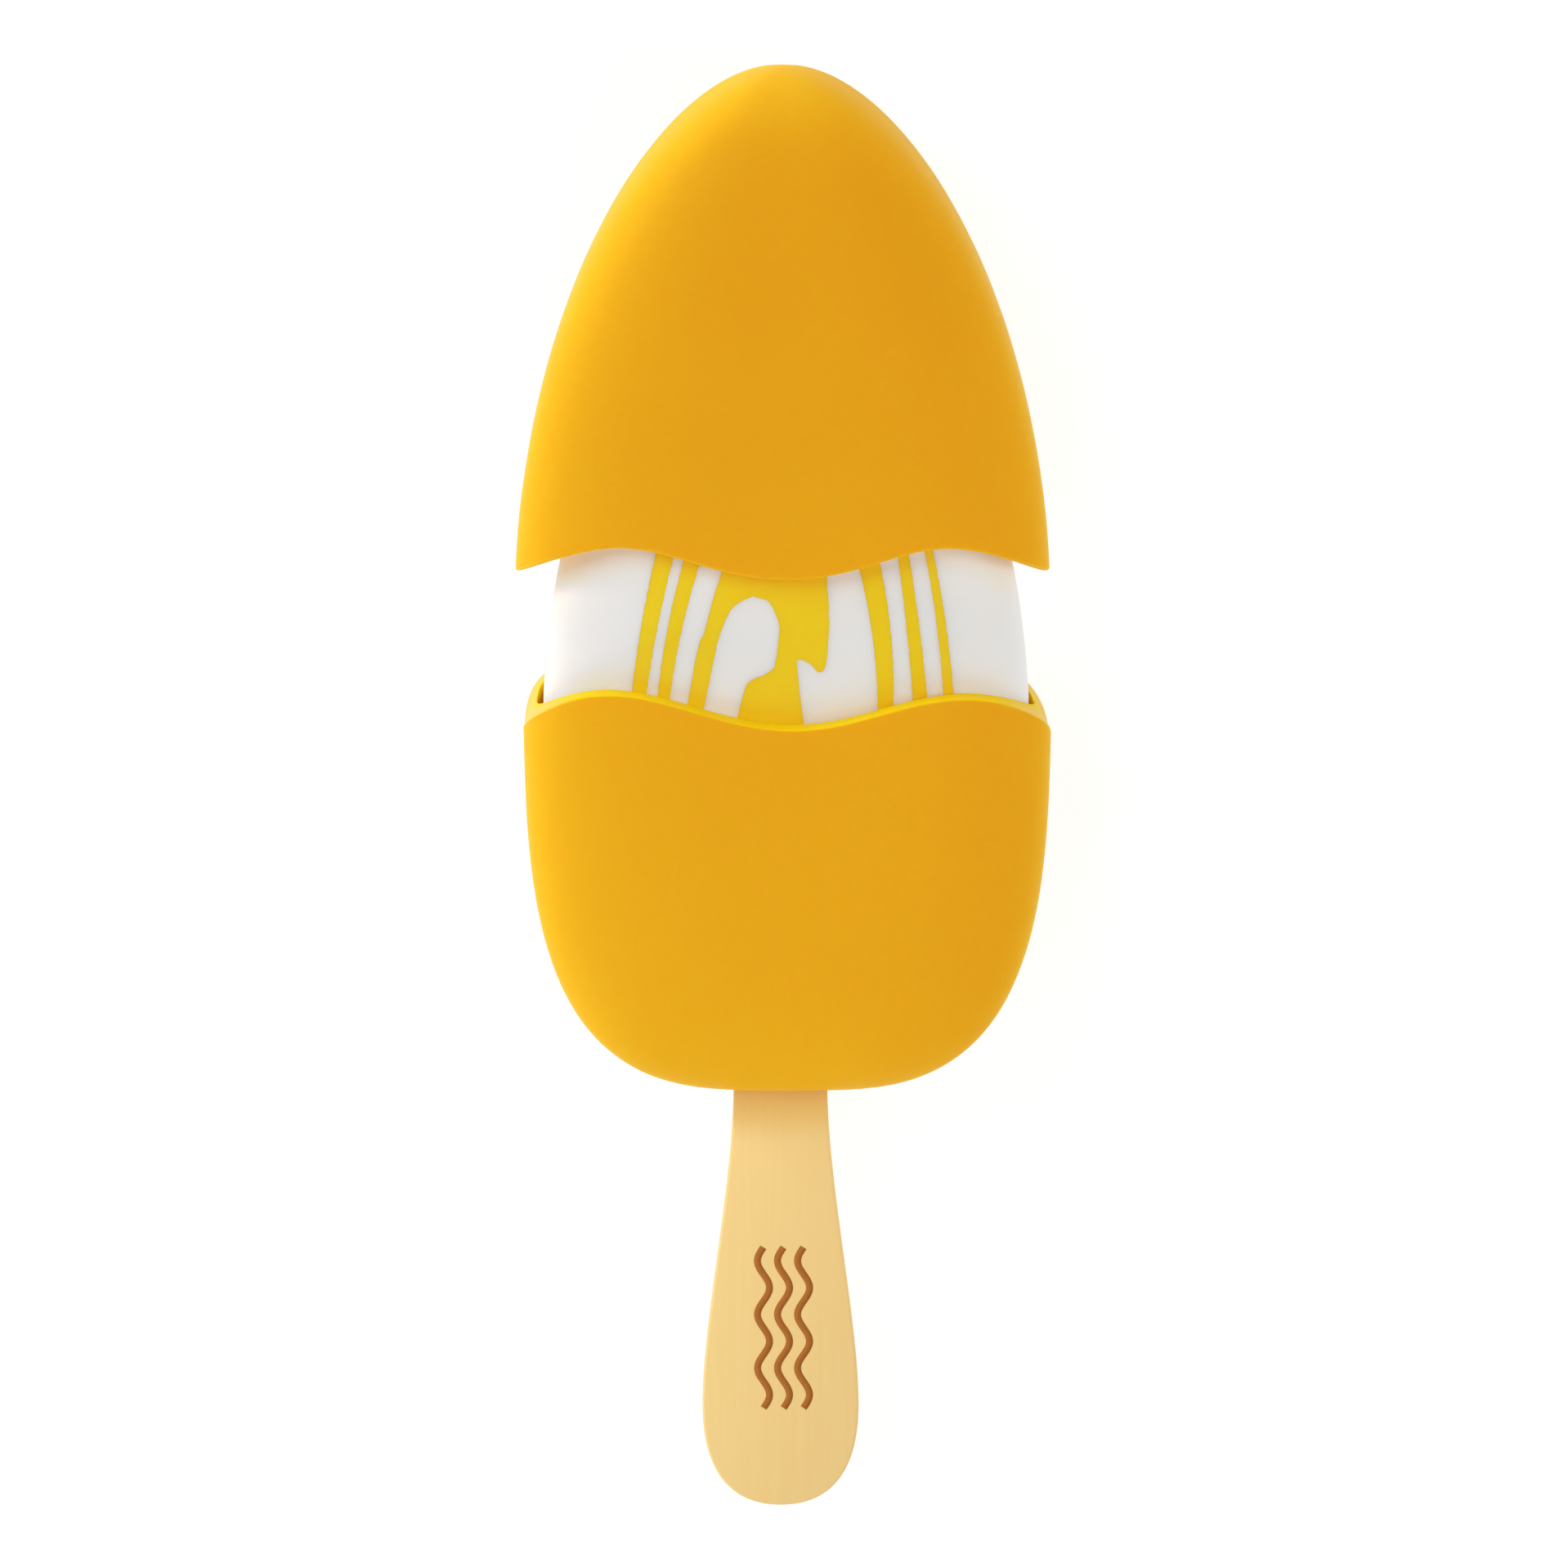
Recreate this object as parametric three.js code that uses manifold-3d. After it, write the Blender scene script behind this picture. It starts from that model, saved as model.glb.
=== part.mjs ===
// A frozen fruit pop on a flat wooden stick, lying on its back.
//
// The fruit shell is cut round its middle by one wavy cut. Its tip piece, the cap, is drawn up by
// PULL, so the white core shows in a band between the cap and the lower piece, the cup. Streaks of
// fruit ripple run through the core from front to back.
//
// Millimetres. While it is built, X runs across the pop, Y along it from the shell's lower end to
// the tip, and Z up through its thickness from the middle plane. The finished group is then moved
// so that its origin is under the middle of its bounding box, on the surface that it lies on.

import * as THREE from 'three';
import { ParametricGeometry } from 'three/addons/geometries/ParametricGeometry.js';
import { mergeVertices } from 'three/addons/utils/BufferGeometryUtils.js';
import Module from 'manifold-3d';

const wasm = await Module();
wasm.setup();

// ---- driving dimensions, mm ----

const PULL = 15;                  // how far the cap is drawn up from the cup
const SHELL_LENGTH = 86.6;        // the closed shell, from its lower end to its tip
const SHELL_HALF_WIDTH = 25.7;
const CAP_HALF_WIDTH = 25.9;      // the cap's side corners stand a little wider than the cup
const SHELL_HALF_THICKNESS = 13.3;
const REST_HEIGHT = 13.15;        // middle plane above the table: the back is flat below it
const CUP_WIDEST = 45;            // station of the cup's full width, measured from its lower end
const CAP_WIDEST = 50.7;          // the same for the cap, where it is drawn up

const CORE_HALF_WIDTH = 23.65;
const CORE_HALF_THICKNESS = 10.9;
const CORE_WIDEST = 38;
const CORE_LOW = 3;               // shell thickness under the core
const CORE_TIP = 86;

const GAP = 0.3;                  // clearance between pieces that touch
const RIPPLE_GAP = 0.25;          // clearance round a ripple in its slot
const MOUTH_SLACK = 0.4;          // extra room at the sides of the cup's mouth
const MOUTH_DEPTH = 16;           // how far down the cup that room reaches

const CUT_MEAN = 40.48;           // the cup's cut edge, averaged round the shell
const CUT_CHAMFER = 0.25;         // soft outer corner of the cut
const CUT_BLEND = 3;              // where the front's wave turns into the back's

const STICK_NECK = 4.66;          // half-width where the stick enters the shell
const STICK_FLARE = 7.84;         // half-width at the handle's widest place
const STICK_FLARE_AT = -33.3;
const STICK_END = -43.95;
const STICK_TOP = 33;             // hidden end inside the core
const STICK_THICKNESS = 2;
const STICK_EDGE = 0.25;          // broken edges
const STICK_BENDS = 10;           // facets along each curve of its outline

const RIPPLE_LOW = 34.5;          // hidden lower ends of the ripples, inside the cup
const RIPPLE_HIGH = 62;           // hidden upper ends, inside the cap

const CORE_X = 0.2;               // hand-made offsets from the middle line
const RIPPLE_X = 0.28;
const CUP_X = 0.32;
const CAP_X = -0.14;
const STICK_X = -0.35;

const AROUND = 48;                // facets round the pop
const ALONG = 20;                 // rows of facets along the core
const CAP_ROWS = 13;              // rows along the cap's outside
const CUP_ROWS = 12;              // rows along the cup's outside
const CUT_FACE_ROWS = [0.95, 0.91, 0.87, 0.83, 0.5];   // its rows, as shares of the section

// The cut is made by hand: four waves round the shell, lower at the sides, and not quite even. Each
// row is how often a wave goes round, and its height from the front's middle as a cosine and a sine.
const CAP_CUT_WAVES = [
  [1, -0.05, 0.06],
  [2, 0.80, -0.05],
  [3, 0.24, -0.11],
  [4, -1.95, 0.05],
  [6, -0.16, -0.06],
  [8, 0.15, 0.01],
];
const CUP_CUT_WAVES = [
  [1, 0.12, -0.30],
  [2, 1.56, -0.10],
  [3, -0.44, 0.29],
  [4, -2.04, -0.28],
  [6, 0.19, 0.09],
  [8, -0.02, -0.04],
];

// ---- materials ----

const material = (color, roughness) => new THREE.MeshStandardMaterial({ color, roughness, metalness: 0 });
const fruitIce = material('#e8a824', 0.5);
const milkIce = material('#e9e6e0', 0.55);
const fruitRipple = material('#ecc11d', 0.35);
const birch = material('#f3cd88', 0.7);

// ---- drop shapes ----
//
// A form is a long drop with superellipse sections. From its widest station towards each end the
// half-width and the half-thickness fall as (1 - u^p)^(1/q), with u from 0 to 1 at the end.

const fall = (u, p, q) => Math.pow(1 - Math.pow(Math.min(Math.max(u, 0), 1), p), 1 / q);

const TIP_FALL = { width: [1.835, 1.811], thickness: [12, 2], squareness: 0.8 };
const FOOT_FALL = { width: [3.59, 2.97], thickness: [5, 2], squareness: 0.4 };
const SQUARENESS = 3.8;           // exponent of the widest section: 2 is an ellipse

function station(form, y) {
  const up = y > form.widest;
  const end = up ? TIP_FALL : FOOT_FALL;
  const u = (y - form.widest) / ((up ? form.tip : form.foot) - form.widest);
  return {
    width: form.halfWidth * fall(u, ...end.width),
    thickness: form.halfThickness * fall(u, ...end.thickness),
    exponent: SQUARENESS - end.squareness * u * u,
  };
}

// The same form made larger on every side.
const grown = (form, by) => ({
  ...form,
  foot: form.foot - by,
  tip: form.tip + by,
  halfWidth: form.halfWidth + by,
  halfThickness: form.halfThickness + by,
});

const power = (value, exponent) => Math.sign(value) * Math.pow(Math.abs(value), 2 / exponent);

// Angles that divide the widest section's outline into AROUND equal lengths, from the front's
// middle. Every section uses them, so that inner and outer walls stay parallel.
function evenAngles() {
  const fine = 4000;
  const point = (i) => {
    const angle = (2 * Math.PI * i) / fine;
    return [
      SHELL_HALF_WIDTH * power(Math.sin(angle), SQUARENESS),
      SHELL_HALF_THICKNESS * power(Math.cos(angle), SQUARENESS),
    ];
  };
  const lengths = [0];
  for (let i = 1; i <= fine; i++) {
    const [x0, z0] = point(i - 1);
    const [x1, z1] = point(i);
    lengths.push(lengths[i - 1] + Math.hypot(x1 - x0, z1 - z0));
  }
  const angles = [];
  let i = 0;
  for (let k = 0; k < AROUND; k++) {
    while (lengths[i] < (lengths[fine] * k) / AROUND) i++;
    angles.push((2 * Math.PI * i) / fine);
  }
  return angles;
}

const ANGLES = evenAngles();

// A point of a form's skin at station y and angle k, with its section scaled by inward.
function skinPoint(form, y, k, target, inward = 1) {
  const { width, thickness, exponent } = station(form, y);
  const x = width * power(Math.sin(ANGLES[k]), exponent) * inward;
  const z = thickness * power(Math.cos(ANGLES[k]), exponent) * inward;
  target.set(form.x + x, y, form.flatBack ? Math.max(z, -REST_HEIGHT) : z);
}

// The station of a form's cut on its rim, at angle k or between two angles.
function cutStation(form, k) {
  const turn = (2 * Math.PI * k) / AROUND;
  return form.cutWaves.reduce(
    (y, [times, cosine, sine]) => y + cosine * Math.cos(times * turn) + sine * Math.sin(times * turn),
    form.cutMean,
  );
}

// The station of a form's cut over or under a point inside its rim. The cut runs straight through,
// so it is the rim's in front of the point or behind it, and near the middle plane one turns into
// the other.
function cutInside(form, point) {
  const share = THREE.MathUtils.clamp((point.x - form.x) / form.halfWidth, -1, 1);
  const angle = Math.asin(Math.pow(Math.abs(share), SQUARENESS / 2));
  const i = ANGLES.findLastIndex((start) => start <= angle);
  const k = Math.sign(share) * (i + (angle - ANGLES[i]) / (ANGLES[i + 1] - ANGLES[i]));
  const front = THREE.MathUtils.smoothstep(point.z, -CUT_BLEND, CUT_BLEND);
  return THREE.MathUtils.lerp(cutStation(form, AROUND / 2 - k), cutStation(form, k), front);
}

// ---- solids ----

// One closed solid from a geometry whose faces share their corners once those are merged.
function solid(geometry) {
  geometry.deleteAttribute('normal');
  geometry.deleteAttribute('uv');
  const merged = mergeVertices(geometry, 1e-4);
  const corners = merged.index.array;
  const kept = [];
  for (let i = 0; i < corners.length; i += 3) {
    const [a, b, c] = corners.slice(i, i + 3);
    if (a !== b && b !== c && c !== a) kept.push(a, b, c);
  }
  return new wasm.Manifold(new wasm.Mesh({
    numProp: 3,
    vertProperties: new Float32Array(merged.attributes.position.array),
    triVerts: new Uint32Array(kept),
  }));
}

function geometryOf(manifold) {
  const { vertProperties, triVerts } = manifold.getMesh();
  const geometry = new THREE.BufferGeometry();
  geometry.setAttribute('position', new THREE.BufferAttribute(new Float32Array(vertProperties), 3));
  geometry.setIndex(new THREE.BufferAttribute(new Uint32Array(triVerts), 1));
  return geometry;
}

// A closed skin over rows of AROUND points. Each row is a function of the angle's number; the
// first and last rows shrink to one point.
function loft(rows) {
  const at = (across, along, target) => {
    rows[Math.round(along * (rows.length - 1))](Math.round(across * AROUND) % AROUND, target);
  };
  return solid(new ParametricGeometry(at, AROUND, rows.length - 1));
}

// The whole of a form, with rows closer together at its rounded ends.
function wholeForm(form, rows) {
  const stations = Array.from({ length: rows + 1 }, (_, i) => {
    const share = (1 - Math.cos((Math.PI * i) / rows)) / 2;
    return THREE.MathUtils.lerp(form.foot, form.tip, share);
  });
  return loft(stations.map((y) => (k, target) => skinPoint(form, y, k, target)));
}

// A form from one of its ends to the wavy cut. The cut's face is closed over the middle, where the
// core takes its place.
function cutForm(form, end, rows) {
  const towardsEnd = Math.sign(end - form.cutMean);
  const skin = Array.from({ length: rows + 1 }, (_, i) => (k, target) => {
    const share = 1 - Math.cos((Math.PI * i) / rows / 2);
    const last = cutStation(form, k) + towardsEnd * CUT_CHAMFER;
    skinPoint(form, THREE.MathUtils.lerp(end, last, share), k, target);
  });
  const rim = (k, target) => {
    skinPoint(form, cutStation(form, k), k, target, 1 - CUT_CHAMFER / SHELL_HALF_THICKNESS);
  };
  const face = CUT_FACE_ROWS.map((inward) => (k, target) => {
    skinPoint(form, cutStation(form, k), k, target, inward);
    target.y = cutInside(form, target);
  });
  const middle = (k, target) => target.set(form.x, form.cutMean, 0);
  const path = [...skin, rim, ...face, middle];
  return loft(towardsEnd < 0 ? path : path.reverse());
}

// A flat outline carried through the thickness, centred on the middle plane.
function plate(shape, thickness, curveSegments, edge = 0) {
  const geometry = new THREE.ExtrudeGeometry(shape, {
    depth: thickness - 2 * edge,
    curveSegments,
    bevelEnabled: edge > 0,
    bevelThickness: edge,
    bevelSize: edge,
    bevelOffset: -edge,
    bevelSegments: 1,
  });
  geometry.translate(0, 0, edge - thickness / 2);
  return solid(geometry);
}

// ---- the stick ----

function stickOutline(grow) {
  const neck = STICK_NECK + grow;
  const flare = STICK_FLARE + grow;
  const end = STICK_END - grow;
  const topCentre = STICK_TOP - STICK_NECK;
  const shape = new THREE.Shape();
  shape.absarc(0, topCentre, neck, 0, Math.PI);
  shape.lineTo(-neck, 0);
  shape.bezierCurveTo(-neck, -9.9, -flare, -24.9, -flare, STICK_FLARE_AT);
  shape.bezierCurveTo(-flare, -41, -4.6, end, 0, end);
  shape.bezierCurveTo(4.6, end, flare, -41, flare, STICK_FLARE_AT);
  shape.bezierCurveTo(flare, -24.9, neck, -9.9, neck, 0);
  shape.closePath();
  return shape;
}

// ---- ripples ----

// A narrow streak follows a bowed line between two stations of the band that shows.
const STREAK_HIGH = 55.3;
const STREAK_LOW = 42.4;
const STREAK_STEPS = 9;
const streaks = [
  { name: 'ripple_left_outer', high: -11.9, low: -14.2, bow: -0.2, widthHigh: 1.7, widthLow: 1.4 },
  { name: 'ripple_left_inner', high: -9.2, low: -11.8, bow: -0.3, widthHigh: 1.55, widthLow: 1.2 },
  { name: 'ripple_right_inner', high: 7.9, low: 9.45, bow: 0.35, widthHigh: 2.05, widthLow: 1.55 },
  { name: 'ripple_right_middle', high: 11.25, low: 12.75, bow: 0.1, widthHigh: 1.1, widthLow: 1.4 },
  { name: 'ripple_right_outer', high: 13.8, low: 15.5, bow: 0.2, widthHigh: 0.8, widthLow: 1.0 },
];

function streakOutline({ high, low, bow, widthHigh, widthLow }) {
  const side = (sign) => (_, i) => {
    const y = THREE.MathUtils.lerp(RIPPLE_LOW, RIPPLE_HIGH, i / STREAK_STEPS);
    const share = (y - STREAK_LOW) / (STREAK_HIGH - STREAK_LOW);
    const middle = THREE.MathUtils.lerp(low, high, share) + bow * 4 * share * (1 - share);
    const width = THREE.MathUtils.lerp(widthLow, widthHigh, share);
    return new THREE.Vector2(middle + (sign * width) / 2, y);
  };
  const right = Array.from({ length: STREAK_STEPS + 1 }, side(1));
  const left = Array.from({ length: STREAK_STEPS + 1 }, side(-1));
  return new THREE.Shape([...right, ...left.reverse()]);
}

// The broad middle ripple: an arm on the left, round a thumb of white, and a trunk on the right
// with a small white tooth in its lower edge.
function centreOutline() {
  const through = (...pairs) => pairs.map(([x, y]) => new THREE.Vector2(x, y));
  const shape = new THREE.Shape();
  shape.moveTo(3.7, RIPPLE_HIGH);
  shape.lineTo(-4.2, RIPPLE_HIGH);
  shape.splineThru(through([-6.2, 54.9], [-7.1, 52], [-7.9, 49], [-8.7, 46.4], [-10.8, RIPPLE_LOW]));
  shape.lineTo(-9.2, RIPPLE_LOW);
  shape.splineThru(through([-7.75, 42.4], [-6.9, 46.6], [-6.3, 49], [-5.1, 51.4], [-3.2, 52.45]));
  shape.splineThru(through([-1.7, 51.8], [-0.78, 49.6], [-0.95, 47], [-1.25, 45.4]));
  shape.splineThru(through([-2.1, 44.75], [-3.5, 44.1], [-4.3, 42.4], [-6.1, RIPPLE_LOW]));
  shape.lineTo(2.4, RIPPLE_LOW);
  shape.splineThru(through([1.4, 41.6], [1.05, 44.9], [0.95, 46.1]));
  shape.splineThru(through([1.45, 46.2], [2.25, 45.75], [3.15, 44.95], [3.75, 45.9], [4, 48.6]));
  shape.splineThru(through([4, 51.5], [3.8, 54.5], [3.7, RIPPLE_HIGH]));
  return shape;
}

// An outline pushed out by a clearance, corner by corner.
function grownOutline(shape, by, curveSegments) {
  const corners = shape.getPoints(curveSegments);
  if (corners[0].distanceTo(corners[corners.length - 1]) < 1e-6) corners.pop();
  const turn = THREE.ShapeUtils.isClockWise(corners) ? -1 : 1;
  const count = corners.length;
  return new THREE.Shape(corners.map((corner, i) => {
    const before = corner.clone().sub(corners[(i + count - 1) % count]).normalize();
    const after = corners[(i + 1) % count].clone().sub(corner).normalize();
    const out = new THREE.Vector2(before.y + after.y, -before.x - after.x).multiplyScalar(turn);
    const stretch = Math.min(1 / Math.max(Math.sqrt((1 + before.dot(after)) / 2), 1e-3), 1.5);
    return corner.clone().add(out.setLength(by * stretch));
  }));
}

// ---- the pieces ----

const coreForm = {
  x: CORE_X,
  widest: CORE_WIDEST,
  foot: CORE_LOW,
  tip: CORE_TIP,
  halfWidth: CORE_HALF_WIDTH,
  halfThickness: CORE_HALF_THICKNESS,
};
const shellForm = {
  foot: 0,
  tip: SHELL_LENGTH + PULL,
  halfThickness: SHELL_HALF_THICKNESS,
  flatBack: true,
};
const cupForm = {
  ...shellForm,
  x: CUP_X,
  widest: CUP_WIDEST,
  halfWidth: SHELL_HALF_WIDTH,
  cutMean: CUT_MEAN,
  cutWaves: CUP_CUT_WAVES,
};
const capForm = {
  ...shellForm,
  x: CAP_X,
  widest: CAP_WIDEST,
  halfWidth: CAP_HALF_WIDTH,
  cutMean: CUT_MEAN + PULL,
  cutWaves: CAP_CUT_WAVES,
};

// The cup's socket is a little wider than the core at its mouth, where a dark line shows.
function cupSocket() {
  const form = grown(coreForm, GAP);
  const stations = Array.from({ length: ALONG + 1 }, (_, i) => {
    const share = (1 - Math.cos((Math.PI * i) / ALONG)) / 2;
    return THREE.MathUtils.lerp(form.foot, form.tip, share);
  });
  return loft(stations.map((y) => (k, target) => {
    const open = THREE.MathUtils.smoothstep(y, CUT_MEAN - MOUTH_DEPTH, CUT_MEAN);
    const wide = { ...form, halfWidth: form.halfWidth + MOUTH_SLACK * open };
    skinPoint(wide, y, k, target);
  }));
}

const ripples = [
  ...streaks.map((streak) => ({ name: streak.name, outline: streakOutline(streak), segments: 1 })),
  { name: 'ripple_centre', outline: centreOutline(), segments: 2 },
];
const THROUGH = 2 * CORE_HALF_THICKNESS + 4;   // a little more than the core's thickness

const stickSlot = plate(stickOutline(GAP), STICK_THICKNESS + 2 * GAP, STICK_BENDS)
  .translate([STICK_X, 0, 0]);
const wholeCore = wholeForm(coreForm, ALONG);

function rippleSolid({ outline, segments }) {
  return plate(outline, THROUGH, segments).translate([RIPPLE_X, 0, 0]).intersect(wholeCore);
}

function coreSolid() {
  return ripples.reduce((core, { outline, segments }) => {
    const slot = plate(grownOutline(outline, RIPPLE_GAP, segments), THROUGH, 1);
    return core.subtract(slot.translate([RIPPLE_X, 0, 0]));
  }, wholeCore.subtract(stickSlot));
}

function capSolid() {
  const outside = cutForm(capForm, capForm.tip, CAP_ROWS);
  return outside.subtract(wholeForm(grown(coreForm, GAP), ALONG));
}

function cupSolid() {
  const outside = cutForm(cupForm, cupForm.foot, CUP_ROWS);
  return outside.subtract(cupSocket()).subtract(stickSlot);
}

function stickSolid() {
  return plate(stickOutline(0), STICK_THICKNESS, STICK_BENDS, STICK_EDGE).translate([STICK_X, 0, 0]);
}

// ---- the scene graph ----

const pop = new THREE.Group();

function addPiece(name, manifold, look) {
  const mesh = new THREE.Mesh(geometryOf(manifold), look);
  mesh.name = name;
  pop.add(mesh);
}

addPiece('shell_cap', capSolid(), fruitIce);
addPiece('shell_cup', cupSolid(), fruitIce);
addPiece('core', coreSolid(), milkIce);
addPiece('stick', stickSolid(), birch);
for (const ripple of ripples) addPiece(ripple.name, rippleSolid(ripple), fruitRipple);

const box = new THREE.Box3().setFromObject(pop);
const middle = box.getCenter(new THREE.Vector3());
pop.position.set(-middle.x, -middle.y, -box.min.z);

export default pop;
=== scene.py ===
"""A frozen fruit pop on a flat wooden stick, lying on its back.

The fruit shell is cut round its middle by one wavy cut and drawn apart, so that the white core and
its fruit ripples show between the cap and the cup. The file is laid out as an add-on and is run as
a script. Lengths are metres. Shapes are worked out with Y from the shell's lower end and Z from the
middle plane, and are then moved to the frame's place for them.
"""

import math

import bmesh
import bpy
import numpy as np
from bpy.props import FloatProperty, FloatVectorProperty, IntProperty, PointerProperty
from bpy.types import Operator, Panel, PropertyGroup
from mathutils import Matrix, Vector, noise


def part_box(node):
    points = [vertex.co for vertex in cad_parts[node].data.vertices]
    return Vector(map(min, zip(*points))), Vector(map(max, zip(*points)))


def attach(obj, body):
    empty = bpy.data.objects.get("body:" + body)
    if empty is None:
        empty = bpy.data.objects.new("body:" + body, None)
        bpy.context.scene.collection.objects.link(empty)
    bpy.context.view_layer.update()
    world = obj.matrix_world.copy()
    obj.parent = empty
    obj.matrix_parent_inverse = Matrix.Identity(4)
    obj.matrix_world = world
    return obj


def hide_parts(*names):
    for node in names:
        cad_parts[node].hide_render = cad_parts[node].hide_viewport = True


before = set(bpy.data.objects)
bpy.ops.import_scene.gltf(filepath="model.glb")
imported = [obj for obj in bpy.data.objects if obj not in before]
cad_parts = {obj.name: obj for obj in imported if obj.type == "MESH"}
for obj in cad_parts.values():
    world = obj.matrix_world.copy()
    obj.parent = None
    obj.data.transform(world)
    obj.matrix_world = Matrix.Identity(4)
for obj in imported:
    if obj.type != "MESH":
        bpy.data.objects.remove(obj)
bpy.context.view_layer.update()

bl_info = {
    "name": "Fruit ice pop",
    "version": (1, 0, 0),
    "blender": (4, 5, 0),
    "location": "View3D > Sidebar > Ice pop",
    "description": "Builds a frozen fruit pop, drawn apart to show its rippled core",
    "category": "Object",
}

MM = 0.001
BODY = "root"

# ---- rules of the shape, as the solids have them ----

SHELL_LENGTH = 86.6 * MM  # the closed shell
CUP_WIDEST = 45 * MM
CAP_WIDEST = 50.7 * MM
CORE_WIDEST = 38 * MM
CORE_FOOT = 3 * MM
CORE_TIP = 86 * MM
SQUARENESS = 3.8  # exponent of the widest section: 2 is an ellipse

# From the widest station to either end the half-width and the half-thickness fall by the two
# exponents of fall(), and the section's own exponent falls by the last number.
TIP_FALL = {"width": (1.835, 1.811), "thickness": (12, 2), "squareness": 0.8}
FOOT_FALL = {"width": (3.59, 2.97), "thickness": (5, 2), "squareness": 0.4}

CORE_X = 0.2 * MM  # offsets from the middle line
RIPPLE_X = 0.28 * MM
CUP_X = 0.32 * MM
CAP_X = -0.14 * MM
STICK_X = -0.35 * MM
STICK_FLARE_AT = -33.3 * MM
STICK_END = -43.95 * MM
STICK_TOP = 33 * MM  # its hidden end, inside the core
NECK_BEND = -9.9 * MM  # where the curves of the stick's sides are pulled to
FLARE_BEND = -24.9 * MM
HANDLE_BEND = -41 * MM
END_BEND = 4.6 * MM
MOUTH_DEPTH = 16 * MM  # how deep the extra room in the cup's mouth goes
CUT_BLEND = 3 * MM  # the front's cut turns into the back's this far from the middle plane

# The cut has four waves round the shell, lower at the sides, and not quite even. Each row is how often
# a wave goes round, and its height in mm from the front's middle as a cosine and a sine.
CAP_CUT_WAVES = (
    (1, -0.05, 0.06), (2, 0.80, -0.05), (3, 0.24, -0.11), (4, -1.95, 0.05), (6, -0.16, -0.06),
    (8, 0.15, 0.01),
)
CUP_CUT_WAVES = (
    (1, 0.12, -0.30), (2, 1.56, -0.10), (3, -0.44, 0.29), (4, -2.04, -0.28), (6, 0.19, 0.09),
    (8, -0.02, -0.04),
)
RIPPLE_LOW = 34.5 * MM  # the ripples' hidden ends, inside the cup and the cap
RIPPLE_HIGH = 62 * MM
STREAK_LOW = 42.4 * MM  # the band that shows, between which the streaks' places are given
STREAK_HIGH = 55.3 * MM

# The frame's stick and the top of its cap, which give the pop's place.
STICK_LOW, STICK_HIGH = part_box("stick")
CAP_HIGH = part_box("shell_cap")[1]


def linear(code):
    """A linear RGBA colour from an sRGB hex code."""
    parts = [int(code[i : i + 2], 16) / 255 for i in (0, 2, 4)]
    bent = [p / 12.92 if p <= 0.04045 else ((p + 0.055) / 1.055) ** 2.4 for p in parts]
    return (*bent, 1.0)


# ---- settings ----


def length(name, description, millimetres):
    """A length property whose default is given in millimetres."""
    return FloatProperty(
        name=name, description=description, default=millimetres * MM, unit="LENGTH", precision=5
    )


def colour(name, description, code):
    """A colour property whose default is an sRGB hex code."""
    return FloatVectorProperty(
        name=name, description=description, default=linear(code), size=4, subtype="COLOR"
    )


class ShellSettings(PropertyGroup):
    half_width: length("Half-width", "Half the cup's width", 25.7)
    cap_half_width: length("Cap half-width", "Half the cap's width", 25.9)
    half_thickness: length("Half-thickness", "Half the shell's thickness", 13.3)
    pull: length("Pull", "How far the cap is drawn up from the cup", 15)
    cut_mean: length("Cut height", "The cup's cut edge above its lower end", 40.48)
    wave: FloatProperty(
        name="Wave", description="Height of the cut's waves, as a share of the real ones", default=1
    )
    cap_round: length("Cap's outer edge", "Rounding of the cut's outer edge on the cap", 0.5)
    cup_round: length("Cup's outer edge", "Rounding of the cut's outer edge on the cup", 0.28)
    inner_round: length("Inner edge", "Rounding of the cut's inner edge", 0.2)
    relief: length("Relief", "Depth of the moulded skin's unevenness", 0.06)
    fruit: colour("Fruit ice", "Skin of the mango ice", "eda71c")
    # Painted light: a lighter lemon-yellow for the cut faces, standing in for the lamps at the tip
    # lighting them.
    fruit_cut_lit: colour("Cut fruit ice", "Freshly cut mango ice", "fbc612")
    fruit_frost: colour("Frosted fruit ice", "Mango ice with frost on it", "f4c25c")


class CoreSettings(PropertyGroup):
    half_width: length("Half-width", "Half the core's width", 23.65)
    half_thickness: length("Half-thickness", "Half the core's thickness", 10.9)
    fit: length("Fit", "Clearance between the core and the shell", 0.02)
    mouth_slack: length("Mouth slack", "Extra room at the sides of the cup's mouth", 0.6)
    relief: length("Relief", "Depth of the ice cream's unevenness", 0.05)
    milk: colour("Ice cream", "White milk ice cream", "efedea")


class RippleSettings(PropertyGroup):
    wander: length("Wander", "How far a streak's edge strays", 0.14)
    centre_wander: length("Middle's wander", "How far the broad ripple's edge strays", 0.06)
    wander_size: length("Wander size", "Length of one stray of the edge", 0.6)
    seed: IntProperty(name="Seed", description="Seed of the edges' wander", default=7, min=1)
    ripple: colour("Ripple", "Yellow fruit ripple", "fdd11c")


class StickSettings(PropertyGroup):
    neck: length("Neck", "Half-width where the stick enters the shell", 4.66)
    flare: length("Flare", "Half-width at the handle's widest place", 7.84)
    edge: length("Edge", "Rounding of the stick's edges", 0.3)
    birch: colour("Birch", "Bare birch", "ffcf88")
    birch_dark: colour("Birch grain", "Darker latewood lines", "fcc980")
    # Painted shade: a darker, warmer tint on the wood beside the shell, standing in for the shell's
    # shadow and the orange light it throws.
    shell_shadow_tint: colour("Juice", "Tint of fruit juice that has soaked into the wood", "f1efcd")


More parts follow.
